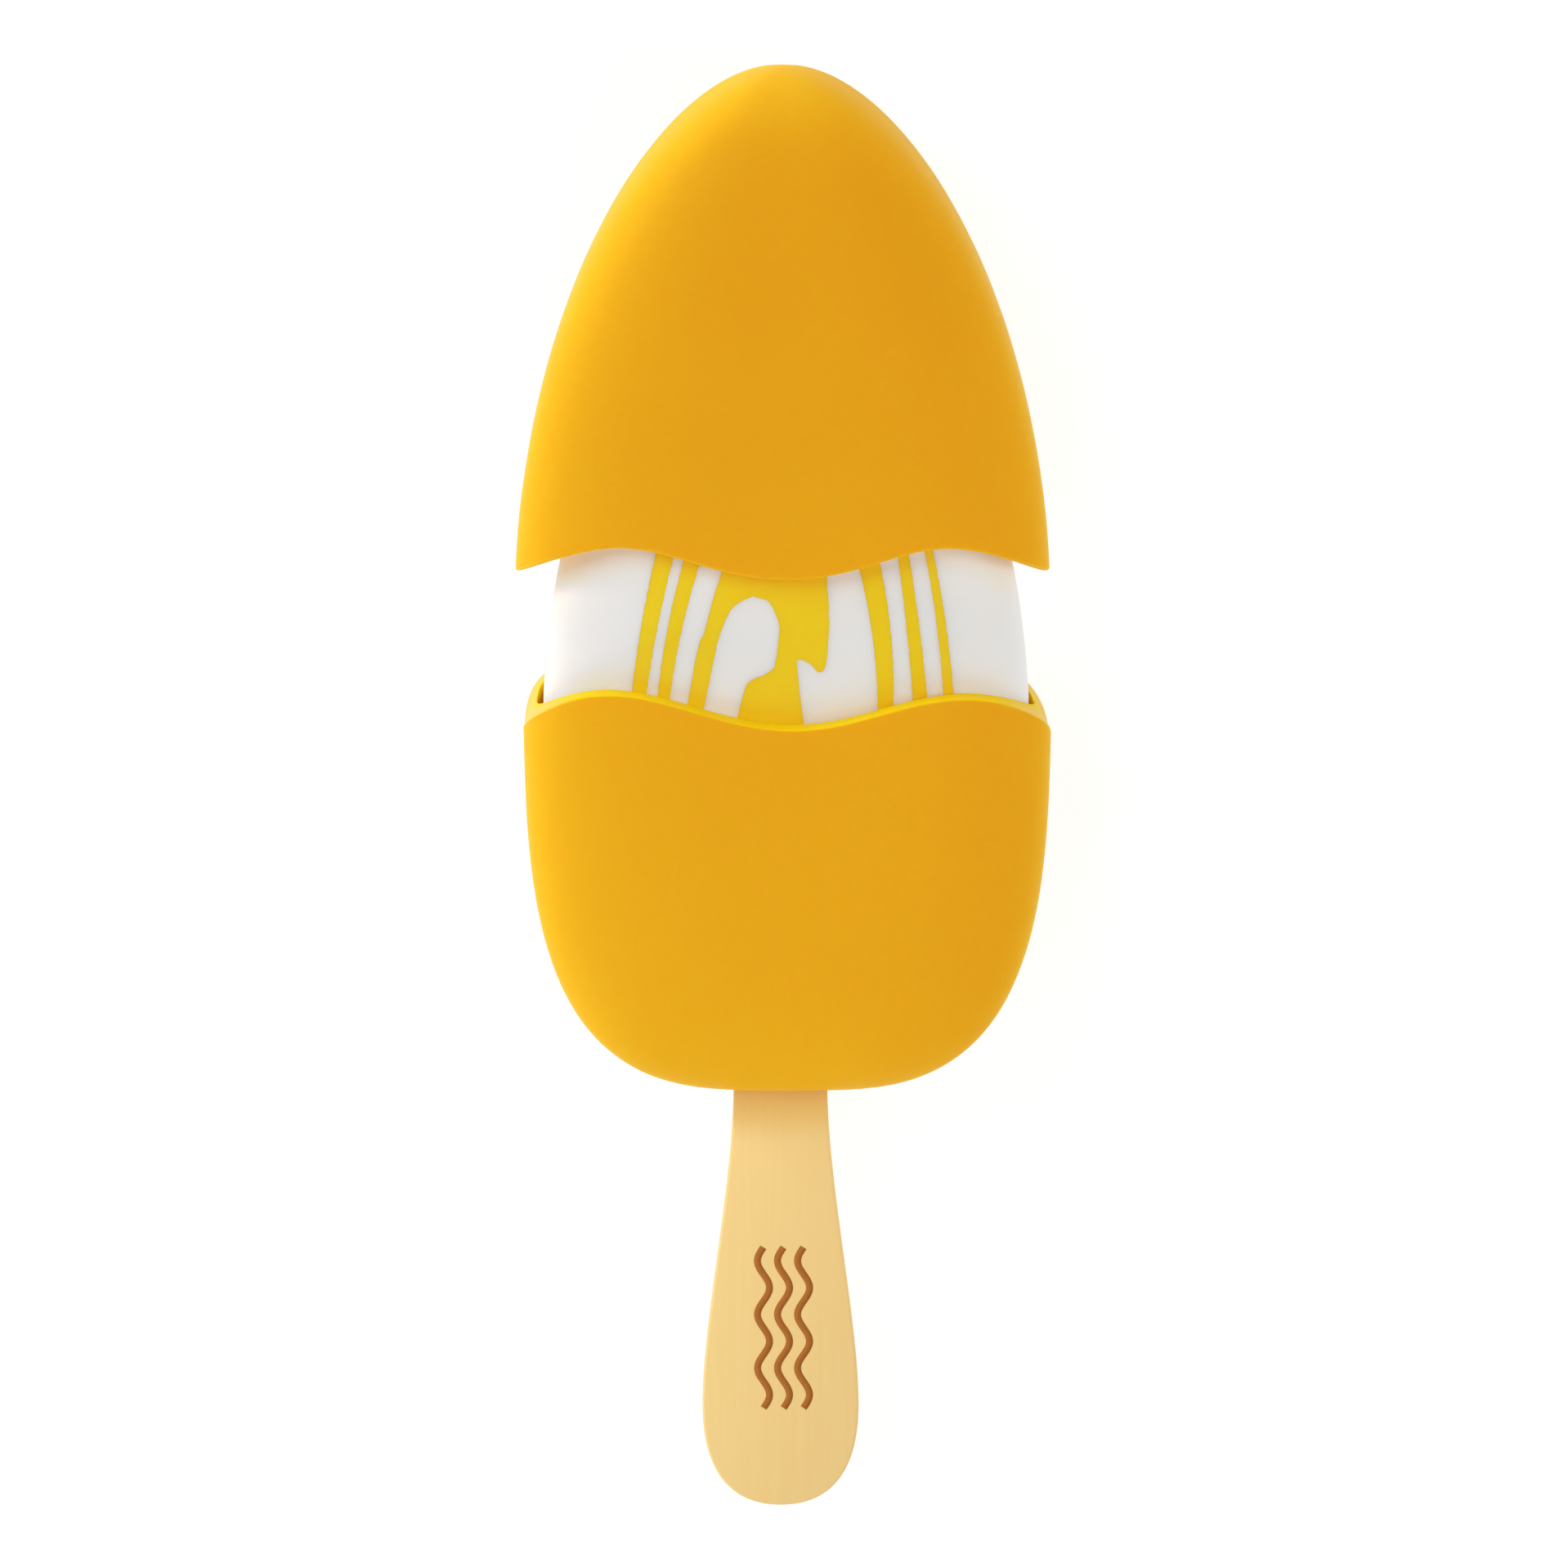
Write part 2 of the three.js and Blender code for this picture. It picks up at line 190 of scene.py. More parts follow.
class PrintSettings(PropertyGroup):
    lines: IntProperty(name="Lines", description="How many wavy lines are printed", default=3)
    spacing: length("Spacing", "From one line to the next", 2)
    half_length: length("Half-length", "Half the length of a line", 8.5)
    below_shell: length("Below the shell", "From the shell to the middle of the print", 25)
    aside: length("Aside", "How far right of the stick's middle line the print is", 0.3)
    waves: FloatProperty(name="Waves", description="How many waves a line has", default=3)
    swing: length("Swing", "How far a line swings to either side", 0.6)
    width: length("Width", "Width of a line", 0.7)
    film: length("Film", "How far the ink stands on the wood", 0.02)
    ink: colour("Ink", "Brown food ink", "a0601f")


class StageSettings(PropertyGroup):
    view_width: length("View width", "Width of the view on the middle plane", 153.44)
    distance: length("Distance", "Camera to the middle of the view", 640)
    tilt: FloatProperty(
        name="Tilt",
        description="The camera's lean towards the tip from straight above",
        default=math.radians(15),
        subtype="ANGLE",
    )
    centre: length("View centre", "The view's middle above the shell's lower end", 31)
    floor: colour("Floor", "Pale board", "aaaaa9")


class PopSettings(PropertyGroup):
    shell: PointerProperty(type=ShellSettings)
    core: PointerProperty(type=CoreSettings)
    ripples: PointerProperty(type=RippleSettings)
    stick: PointerProperty(type=StickSettings)
    print: PointerProperty(type=PrintSettings)
    stage: PointerProperty(type=StageSettings)


def settings():
    """The pop's settings in the open scene."""
    return bpy.context.scene.fruit_pop


def shell_origin():
    """The frame's place for the shell's lower end on the middle plane."""
    shell = settings().shell
    return Vector(
        (
            (STICK_LOW.x + STICK_HIGH.x) / 2 - STICK_X,
            CAP_HIGH.y - SHELL_LENGTH - shell.pull,
            (STICK_LOW.z + STICK_HIGH.z) / 2,
        )
    )


# ---- node trees ----


def add_node(tree, kind, inputs=None, **values):
    """Adds a node. An input is a value, a socket to link, or a node to link by its first output."""
    node = tree.nodes.new(kind)
    for name, value in values.items():
        setattr(node, name, value)
    for name, value in (inputs or {}).items():
        if isinstance(value, bpy.types.Node):
            value = value.outputs[0]
        if isinstance(value, bpy.types.NodeSocket):
            tree.links.new(value, node.inputs[name])
        else:
            node.inputs[name].default_value = value
    return node


def new_geometry_tree(name, sockets):
    """A Geometry Nodes tree with the named inputs of the given kinds, and its input node."""
    tree = bpy.data.node_groups.new(name, "GeometryNodeTree")
    for label, kind in sockets.items():
        tree.interface.new_socket(label, in_out="INPUT", socket_type="NodeSocket" + kind)
    tree.interface.new_socket("Geometry", in_out="OUTPUT", socket_type="NodeSocketGeometry")
    return tree, add_node(tree, "NodeGroupInput")


def end_tree(tree, geometry, material):
    """Ends a tree with real geometry in one material."""
    real = add_node(tree, "GeometryNodeRealizeInstances", {"Geometry": geometry})
    dressed = add_node(tree, "GeometryNodeSetMaterial", {"Geometry": real, "Material": material})
    add_node(tree, "NodeGroupOutput", {"Geometry": dressed})
    return tree


def keep_result(piece):
    """Turns a piece's evaluated shape into its plain mesh, and removes its modifiers."""
    evaluated = piece.evaluated_get(bpy.context.evaluated_depsgraph_get())
    mesh = bpy.data.meshes.new_from_object(evaluated)
    if not mesh.polygons:
        raise RuntimeError(f"{piece.name} came out empty")
    piece.modifiers.clear()
    piece.data = mesh
    return piece


def run_tree(piece, tree, values):
    """Runs a tree on a piece with the named values, and keeps the result as a plain mesh."""
    modifier = piece.modifiers.new(tree.name, "NODES")
    modifier.node_group = tree
    for item in tree.interface.items_tree:
        if item.in_out == "INPUT" and item.name in values:
            modifier[item.identifier] = values[item.name]
    keep_result(piece)
    slots = piece.data.materials
    while len(slots) > 1 and slots[0] is None:
        slots.pop(index=0)
    return piece


def relief_tree():
    """Presses a skin in by uneven amounts, where its relief attribute allows."""
    tree, given = new_geometry_tree(
        "Skin relief",
        {"Geometry": "Geometry", "Depth": "Float", "Grain": "Float", "Material": "Material"},
    )
    place = add_node(tree, "GeometryNodeInputPosition")
    allowed = add_node(tree, "GeometryNodeInputNamedAttribute", {"Name": "relief"})
    scale = add_node(tree, "ShaderNodeMath", {0: 1.0, 1: given.outputs["Grain"]}, operation="DIVIDE")
    uneven = add_node(
        tree, "ShaderNodeTexNoise", {"Vector": place, "Scale": scale, "Detail": 3.0, "Roughness": 0.45}
    )
    share = add_node(tree, "ShaderNodeMath", {0: uneven, 1: allowed}, operation="MULTIPLY")
    press = add_node(
        tree, "ShaderNodeMath", {0: share, 1: given.outputs["Depth"]}, operation="MULTIPLY"
    )
    inwards = add_node(tree, "ShaderNodeMath", {0: press, 1: -1.0}, operation="MULTIPLY")
    normal = add_node(tree, "GeometryNodeInputNormal")
    offset = add_node(tree, "ShaderNodeVectorMath", {0: normal, "Scale": inwards}, operation="SCALE")
    pressed = add_node(
        tree, "GeometryNodeSetPosition", {"Geometry": given.outputs["Geometry"], "Offset": offset}
    )
    return end_tree(tree, pressed, given.outputs["Material"])


STREAK_STEPS = 160  # points along a streak, fine enough for its wandering edges


def streak_tree():
    """A streak that follows a bowed line, with edges that wander, through the whole core.

    The middle line's place is kept, so that each side of it gets noise of its own."""
    tree, given = new_geometry_tree(
        "Ripple streak",
        {
            "Low": "Vector",
            "High": "Vector",
            "Bow": "Float",
            "Width low": "Float",
            "Width high": "Float",
            "Depth ratio": "Float",
            "Wander": "Float",
            "Wander size": "Float",
            "Seed": "Float",
            "Material": "Material",
        },
    )
    line = add_node(
        tree,
        "GeometryNodeCurvePrimitiveLine",
        {"Start": given.outputs["Low"], "End": given.outputs["High"]},
    )
    even = add_node(tree, "GeometryNodeResampleCurve", {"Curve": line, "Count": STREAK_STEPS})
    along = add_node(tree, "GeometryNodeSplineParameter")
    rest = add_node(tree, "ShaderNodeMath", {0: 1.0, 1: along.outputs["Factor"]}, operation="SUBTRACT")
    arch = add_node(tree, "ShaderNodeMath", {0: along.outputs["Factor"], 1: rest}, operation="MULTIPLY")
    lean = add_node(tree, "ShaderNodeMath", {0: arch, 1: given.outputs["Bow"]}, operation="MULTIPLY")
    across = add_node(tree, "ShaderNodeCombineXYZ", {"X": lean})
    bowed = add_node(tree, "GeometryNodeSetPosition", {"Geometry": even, "Offset": across})
    width = add_node(
        tree,
        "ShaderNodeMapRange",
        {
            "Value": along.outputs["Factor"],
            "To Min": given.outputs["Width low"],
            "To Max": given.outputs["Width high"],
        },
    )
    upright = add_node(tree, "GeometryNodeSetCurveNormal", {"Curve": bowed}, mode="Z_UP")
    place = add_node(tree, "GeometryNodeInputPosition")
    spot = add_node(tree, "ShaderNodeSeparateXYZ", {0: place})
    middle = add_node(tree, "GeometryNodeCaptureAttribute")
    middle.capture_items.new("FLOAT", "Middle")
    tree.links.new(upright.outputs[0], middle.inputs["Geometry"])
    tree.links.new(spot.outputs["X"], middle.inputs["Middle"])
    section = add_node(
        tree,
        "GeometryNodeCurvePrimitiveQuadrilateral",
        {"Width": 1.0, "Height": given.outputs["Depth ratio"]},
    )
    body = add_node(
        tree,
        "GeometryNodeCurveToMesh",
        {
            "Curve": middle.outputs["Geometry"],
            "Profile Curve": section,
            "Scale": width,
            "Fill Caps": True,
        },
    )
    aside = add_node(
        tree,
        "ShaderNodeMath",
        {0: spot.outputs["X"], 1: middle.outputs["Middle"]},
        operation="SUBTRACT",
    )
    side = add_node(tree, "ShaderNodeMath", {0: aside}, operation="SIGN")
    apart = add_node(tree, "ShaderNodeMath", {0: side, 1: given.outputs["Seed"]}, operation="ADD")
    pace = add_node(
        tree,
        "ShaderNodeMath",
        {0: spot.outputs["Y"], 1: given.outputs["Wander size"]},
        operation="DIVIDE",
    )
    where = add_node(tree, "ShaderNodeCombineXYZ", {"X": apart, "Y": pace})
    stray = add_node(tree, "ShaderNodeTexNoise", {"Vector": where, "Scale": 1.0, "Detail": 2.0})
    centred = add_node(tree, "ShaderNodeMath", {0: stray, 1: 0.5}, operation="SUBTRACT")
    strayed = add_node(
        tree, "ShaderNodeMath", {0: centred, 1: given.outputs["Wander"]}, operation="MULTIPLY"
    )
    shift = add_node(tree, "ShaderNodeCombineXYZ", {"X": strayed})
    wandering = add_node(tree, "GeometryNodeSetPosition", {"Geometry": body, "Offset": shift})
    return end_tree(tree, wandering, given.outputs["Material"])


PRINT_STEPS = 96  # points along a printed line


def print_tree():
    """Parallel wavy lines of ink along the handle."""
    tree, given = new_geometry_tree(
        "Wavy print",
        {
            "Start": "Vector",
            "End": "Vector",
            "Lines": "Int",
            "Spacing": "Float",
            "Waves": "Float",
            "Swing": "Float",
            "Width": "Float",
            "Film": "Float",
            "Material": "Material",
        },
    )
    line = add_node(
        tree,
        "GeometryNodeCurvePrimitiveLine",
        {"Start": given.outputs["Start"], "End": given.outputs["End"]},
    )
    even = add_node(tree, "GeometryNodeResampleCurve", {"Curve": line, "Count": PRINT_STEPS})
    along = add_node(tree, "GeometryNodeSplineParameter")
    turn = add_node(
        tree,
        "ShaderNodeMath",
        {0: along.outputs["Factor"], 1: given.outputs["Waves"]},
        operation="MULTIPLY",
    )
    phase = add_node(tree, "ShaderNodeMath", {0: turn, 1: math.tau}, operation="MULTIPLY")
    sine = add_node(tree, "ShaderNodeMath", {0: phase}, operation="SINE")
    swing = add_node(tree, "ShaderNodeMath", {0: sine, 1: given.outputs["Swing"]}, operation="MULTIPLY")
    across = add_node(tree, "ShaderNodeCombineXYZ", {"X": swing})
    waving = add_node(tree, "GeometryNodeSetPosition", {"Geometry": even, "Offset": across})
    upright = add_node(tree, "GeometryNodeSetCurveNormal", {"Curve": waving}, mode="Z_UP")
    section = add_node(
        tree,
        "GeometryNodeCurvePrimitiveQuadrilateral",
        {"Width": given.outputs["Width"], "Height": given.outputs["Film"]},
    )
    stroke = add_node(
        tree, "GeometryNodeCurveToMesh", {"Curve": upright, "Profile Curve": section, "Fill Caps": True}
    )
    step = add_node(tree, "ShaderNodeCombineXYZ", {"X": given.outputs["Spacing"]})
    places = add_node(tree, "GeometryNodeMeshLine", {"Count": given.outputs["Lines"], "Offset": step})
    copies = add_node(tree, "GeometryNodeInstanceOnPoints", {"Points": places, "Instance": stroke})
    return end_tree(tree, copies, given.outputs["Material"])


# ---- materials ----


def new_material(name):
    """A material's tree, its Principled shader and the piece's own coordinates."""
    material = bpy.data.materials.new(name)
    material.use_nodes = True
    tree = material.node_tree
    shader = tree.nodes["Principled BSDF"]
    place = add_node(tree, "ShaderNodeTexCoord").outputs["Object"]
    return material, tree, shader, place


def set_inputs(shader, **values):
    """Sets constants on a shader's own sockets, named with underscores for spaces."""
    for name, value in values.items():
        shader.inputs[name.replace("_", " ")].default_value = value


def add_bump(tree, shader, height, distance, strength):
    """Gives a shader fine relief from a node's heights."""
    bump = add_node(
        tree, "ShaderNodeBump", {"Height": height, "Distance": distance, "Strength": strength}
    )
    tree.links.new(bump.outputs[0], shader.inputs["Normal"])


def fruit_ice():
    """Mango ice, moulded and frozen hard: satin, with light going a little way in, a lighter
    lemon-yellow on the cut faces that is painted light from the lamps at the tip, and frost that pales
    the outside of the cut. The crystals' grain is drawn at half a millimetre, coarser than it is, so
    that it shows."""
    shell = settings().shell
    material, tree, shader, place = new_material("Mango ice, moulded")
    cloudy = add_node(
        tree, "ShaderNodeTexNoise", {"Vector": place, "Scale": 1 / (14 * MM), "Detail": 3.0}
    )
    lighter = [min(channel * 1.06, 1.0) for channel in shell.fruit[:3]]
    skin = add_node(tree, "ShaderNodeMixRGB", {0: cloudy, 1: shell.fruit[:], 2: (*lighter, 1.0)})
    # The cut faces are mixed towards the lighter lemon-yellow, which is painted light.
    cut = add_node(tree, "ShaderNodeAttribute", attribute_name="cut")
    whole = add_node(tree, "ShaderNodeMixRGB", {0: cut.outputs["Fac"], 1: skin, 2: shell.fruit_cut_lit[:]})
    frost = add_node(tree, "ShaderNodeAttribute", attribute_name="frost")
    frosted = add_node(
        tree, "ShaderNodeMixRGB", {0: frost.outputs["Fac"], 1: whole, 2: shell.fruit_frost[:]}
    )
    tree.links.new(frosted.outputs[0], shader.inputs["Base Color"])
    grain = add_node(
        tree, "ShaderNodeTexNoise", {"Vector": place, "Scale": 1 / (0.5 * MM), "Detail": 3.0}
    )
    add_bump(tree, shader, grain, 0.03 * MM, 0.35)
    set_inputs(
        shader,
        Roughness=0.4,
        IOR=1.33,
        Specular_IOR_Level=0.012,
        Subsurface_Weight=0.4,
        Subsurface_Radius=(1.0, 0.18, 0.04),
        Subsurface_Scale=3.0 * MM,
    )
    return material


def milk_ice():
    """Milk ice cream, whipped and frozen: matt white, with soft light inside. Its bubbles are
    drawn at half a millimetre, coarser than they are, so that they show."""
    material, tree, shader, place = new_material("Milk ice cream, whipped")
    bubbles = add_node(
        tree, "ShaderNodeTexNoise", {"Vector": place, "Scale": 1 / (0.45 * MM), "Detail": 4.0}
    )
    cloudy = add_node(
        tree, "ShaderNodeTexNoise", {"Vector": place, "Scale": 1 / (5 * MM), "Detail": 2.0}
    )
    milk = settings().core.milk
    duller = [channel * 0.97 for channel in milk[:3]]
    body = add_node(tree, "ShaderNodeMixRGB", {0: cloudy, 1: (*duller, 1.0), 2: milk[:]})
    tree.links.new(body.outputs[0], shader.inputs["Base Color"])
    add_bump(tree, shader, bubbles, 0.03 * MM, 0.4)
    set_inputs(
        shader,
        Roughness=0.6,
        IOR=1.33,
        Subsurface_Weight=0.4,
        Subsurface_Radius=(1.0, 0.9, 0.8),
        Subsurface_Scale=2.0 * MM,
    )
    return material


def fruit_ripple():
    """Fruit ripple, poured and half frozen: yellow, smooth, with a little wet gloss and faint
    clouds of pulp."""
    material, tree, shader, place = new_material("Fruit ripple, poured")
    pulp = add_node(
        tree, "ShaderNodeTexNoise", {"Vector": place, "Scale": 1 / (1.8 * MM), "Detail": 3.0}
    )
    ripple = settings().ripples.ripple
    deeper = [ripple[0] * 0.97, ripple[1] * 0.92, ripple[2] * 0.8]
    body = add_node(tree, "ShaderNodeMixRGB", {0: pulp, 1: (*deeper, 1.0), 2: ripple[:]})
    tree.links.new(body.outputs[0], shader.inputs["Base Color"])
    add_bump(tree, shader, pulp, 0.02 * MM, 0.2)
    set_inputs(
        shader,
        Roughness=0.38,
        IOR=1.36,
        Subsurface_Weight=0.25,
        Subsurface_Radius=(1.0, 0.6, 0.1),
        Subsurface_Scale=1.5 * MM,
    )
    return material


def bare_birch():
    """Birch, sliced and tumbled smooth: pale and matt, with a fine straight grain drawn out along the
    stick, and painted shade with a warm cast beside the shell, standing in for the shell's shadow and
    the orange light it throws on the wood."""
    stick = settings().stick
    material, tree, shader, place = new_material("Birch, tumbled")
    drawn_out = add_node(tree, "ShaderNodeMapping", {"Vector": place, "Scale": (1.0, 0.035, 1.0)})
    grain = add_node(
        tree,
        "ShaderNodeTexNoise",
        {"Vector": drawn_out, "Scale": 1 / (0.55 * MM), "Detail": 4.0, "Roughness": 0.6},
    )
    lines = add_node(
        tree, "ShaderNodeMapRange", {"Value": grain, "From Min": 0.42, "From Max": 0.72, "To Max": 0.4}
    )
    wood = add_node(tree, "ShaderNodeMixRGB", {0: lines, 1: stick.birch[:], 2: stick.birch_dark[:]})
    along = add_node(tree, "ShaderNodeSeparateXYZ", {0: place})
    # Painted shade beside the shell: the wood is darkened and warmed over a few millimetres there.
    shell_end = shell_origin().y
    near_shell = add_node(
        tree,
        "ShaderNodeMapRange",
        {
            "Value": along.outputs["Y"],
            "From Min": shell_end - 6 * MM,
            "From Max": shell_end - 1.5 * MM,
        },
        interpolation_type="SMOOTHSTEP",
    )
    shaded_wood = add_node(
        tree, "ShaderNodeMixRGB", {0: near_shell, 1: wood, 2: stick.shell_shadow_tint[:]}, blend_type="MULTIPLY"
    )
    tree.links.new(shaded_wood.outputs[0], shader.inputs["Base Color"])
    add_bump(tree, shader, grain, 0.02 * MM, 0.15)
    set_inputs(shader, Roughness=0.62, IOR=1.5, Specular_IOR_Level=0.35)
    return material


def food_ink():
    """Food ink, stamped: matt brown, soaked a little into the wood."""
    material, tree, shader, place = new_material("Food ink, stamped")
    soak = add_node(
        tree, "ShaderNodeTexNoise", {"Vector": place, "Scale": 1 / (0.4 * MM), "Detail": 2.0}
    )
    ink = settings().print.ink
    thin = [min(channel * 1.25, 1.0) for channel in ink[:3]]
    soaked = add_node(tree, "ShaderNodeMixRGB", {0: soak, 1: ink[:], 2: (*thin, 1.0)})
    tree.links.new(soaked.outputs[0], shader.inputs["Base Color"])
    set_inputs(shader, Roughness=0.7, IOR=1.45, Specular_IOR_Level=0.3)
    return material


def pale_board():
    """Painted board, rolled: near-white and matt, with a glow that keeps it pale all over."""
    material, tree, shader, place = new_material("Painted board, rolled")
    stipple = add_node(
        tree, "ShaderNodeTexNoise", {"Vector": place, "Scale": 1 / (1.5 * MM), "Detail": 2.0}
    )
    add_bump(tree, shader, stipple, 0.02 * MM, 0.1)
    set_inputs(
        shader,
        Base_Color=settings().stage.floor[:],
        Roughness=0.9,
        Specular_IOR_Level=0.1,
        Emission_Color=(1.0, 1.0, 1.0, 1.0),
        Emission_Strength=0.9,
    )
    return material


# ---- meshes ----


def new_piece(name, mesh, material=None):
    """A mesh as a piece in the scene, at the origin."""
    piece = bpy.data.objects.new(name, mesh)
    bpy.context.scene.collection.objects.link(piece)
    if material:
        mesh.materials.clear()
        mesh.materials.append(material)
    return piece


def shade(piece, degrees=38):
    """Smooth faces, with edges sharper than the angle kept crisp."""
    piece.data.shade_smooth()
    piece.data.set_sharp_from_angle(angle=math.radians(degrees))


def mount_on_frame(piece, material_slot, *nodes):
    """Hands a finished piece to the frame."""
    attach(piece, BODY)
    if nodes:
        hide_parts(*nodes)


def face_outwards(mesh):
    """Turns every face of a closed mesh outwards."""
    shape = bmesh.new()
    shape.from_mesh(mesh)
    bmesh.ops.recalc_face_normals(shape, faces=shape.faces)
    shape.to_mesh(mesh)
    shape.free()
    return mesh


def closed_skin(name, rings, marks=None):
    """A closed mesh over rings of equally many points; the first and last ring are one point each.

    marks holds attributes with one value for each ring point, laid out as the rings are."""
    around = len(rings[1])
    body = np.concatenate(rings[1:-1])
    points = np.concatenate([rings[0][:1], body, rings[-1][:1]])
    rows = len(rings) - 2
    ahead = np.roll(np.arange(around), -1)
    here = np.arange(around)
    faces = [(0, 1 + a, 1 + b) for a, b in zip(ahead, here)]
    for row in range(rows - 1):
        low, high = 1 + row * around, 1 + (row + 1) * around
        faces += [(low + b, low + a, high + a, high + b) for a, b in zip(ahead, here)]
    last = 1 + (rows - 1) * around
    end = len(points) - 1
    faces += [(end, last + b, last + a) for a, b in zip(ahead, here)]
    mesh = bpy.data.meshes.new(name)
    mesh.from_pydata(points.tolist(), [], faces)
    for label, values in (marks or {}).items():
        flat = np.concatenate([values[0][:1], *values[1:-1], values[-1][:1]])
        mesh.attributes.new(label, "FLOAT", "POINT").data.foreach_set("value", flat)
    return face_outwards(mesh)


def fall(u, p, q):
    """A radius as a share of its largest, from u = 0 at the widest station to 1 at the end."""
    return (1 - np.clip(u, 0, 1) ** p) ** (1 / q)


def power(value, exponent):
    """A sine or cosine bent to a superellipse's."""
    return np.sign(value) * np.abs(value) ** (2 / exponent)


FINE_ANGLES = 20001  # points at which the widest section's outline is measured


def even_angles(count, half_width, half_thickness):
    """Angles that divide the widest section's outline evenly, from the front's middle."""
    angle = np.linspace(0, math.tau, FINE_ANGLES)
    x = half_width * power(np.sin(angle), SQUARENESS)
    z = half_thickness * power(np.cos(angle), SQUARENESS)
    walked = np.concatenate([[0], np.cumsum(np.hypot(np.diff(x), np.diff(z)))])
    return np.interp(np.linspace(0, walked[-1], count, endpoint=False), walked, angle)


class Form:
    """A long drop with superellipse sections, from its foot over its widest station to its tip.

    Where rest is given, its back is flat that far below the middle plane."""

    def __init__(self, x, foot, widest, tip, half_width, half_thickness, rest=None, slack=0):
        self.x, self.foot, self.widest, self.tip = x, foot, widest, tip
        self.half_width, self.half_thickness = half_width, half_thickness
        self.rest, self.slack = rest, slack

    def grown(self, by, slack=0):
        """The same form made larger on every side, and wider at the cup's mouth by slack."""
        return Form(
            self.x,
            self.foot - by,
            self.widest,
            self.tip + by,
            self.half_width + by,
            self.half_thickness + by,
            slack=slack,
        )

    def ring(self, y, angles):
        """The points of the skin at stations y, one for each angle."""
        y = np.broadcast_to(np.asarray(y, float), angles.shape)
        up = y > self.widest
        u = (y - self.widest) / np.where(up, self.tip - self.widest, self.foot - self.widest)
        width, thickness, squareness = (
            np.where(up, tip_side, foot_side)
            for tip_side, foot_side in (
                (fall(u, *TIP_FALL["width"]), fall(u, *FOOT_FALL["width"])),
                (fall(u, *TIP_FALL["thickness"]), fall(u, *FOOT_FALL["thickness"])),
                (TIP_FALL["squareness"], FOOT_FALL["squareness"]),
            )
        )
        exponent = SQUARENESS - squareness * np.clip(u, 0, 1) ** 2
        depth = settings().shell.cut_mean - y
        open_share = np.clip(1 - depth / MOUTH_DEPTH, 0, 1)
        half_width = self.half_width + self.slack * open_share**2 * (3 - 2 * open_share)
        x = self.x + half_width * width * power(np.sin(angles), exponent)
        z = self.half_thickness * thickness * power(np.cos(angles), exponent)
        if self.rest is not None:
            z = np.maximum(z, -self.rest)
        return np.stack([x, y, z], axis=1)


def core_form():
    """The white core's form."""
    core = settings().core
    return Form(CORE_X, CORE_FOOT, CORE_WIDEST, CORE_TIP, core.half_width, core.half_thickness)


def shell_form(x, widest, half_width):
    """The form of the cap's or the cup's outside, with a flat back to lie on."""
    shell = settings().shell
    rest = (STICK_LOW.z + STICK_HIGH.z) / 2
    return Form(x, 0, widest, SHELL_LENGTH + shell.pull, half_width, shell.half_thickness, rest)


def cut_stations(mean, waves, turns):
    """The wavy cut's station on the rim at each turn from the front's middle."""
    rise = sum(c * np.cos(times * turns) + s * np.sin(times * turns) for times, c, s in waves)
    return mean + settings().shell.wave * rise * MM


def cut_inside(form, mean, waves, angles, points):
    """The cut's station over or under points inside its rim.

    The cut runs straight through, so a point has the station of the rim in front of it or behind
    it, and near the middle plane one turns into the other."""
    turns = np.linspace(0, math.tau, len(angles), endpoint=False)
    share = np.clip((points[:, 0] - form.x) / form.half_width, -1, 1)
    lean = np.arcsin(np.abs(share) ** (SQUARENESS / 2))
    turn = np.sign(share) * np.interp(lean, angles, turns)
    front, back = (cut_stations(mean, waves, side) for side in (turn, math.pi - turn))
    blend = np.clip(points[:, 2] / (2 * CUT_BLEND) + 0.5, 0, 1)
    return back + (front - back) * blend**2 * (3 - 2 * blend)


def to_frame(rings):
    """Moves rings from the shell's own place to the frame's."""
    origin = np.array(shell_origin())
    return [ring + origin for ring in rings]


SHELL_AROUND = 240  # points round the shell, and rows along its outside, edges, cut face and inside
OUTER_ROWS = 90
ROUND_ROWS = 5
FACE_ROWS = 8
INNER_ROWS = 40
SHELL_GRAIN = 6 * MM  # size of one unevenness of the skin
RELIEF_RISE = 2 * MM  # the relief grows over this height from the flat back, which stays flat
FROST_FROM = 0.8  # the cut's outer edge is frosted from this share of the half-width
FROST_RISE = 0.14  # and grows over this share
EDGE_RELIEF = 0.4  # share of the skin's relief on the cut's edges and face
CAP_CUT_LIGHT = 0.3  # how much of the cut colour's painted light the cut faces get: the cap's, facing away from the lamps, gets less, as painted shade
CUP_CUT_LIGHT = 1.0


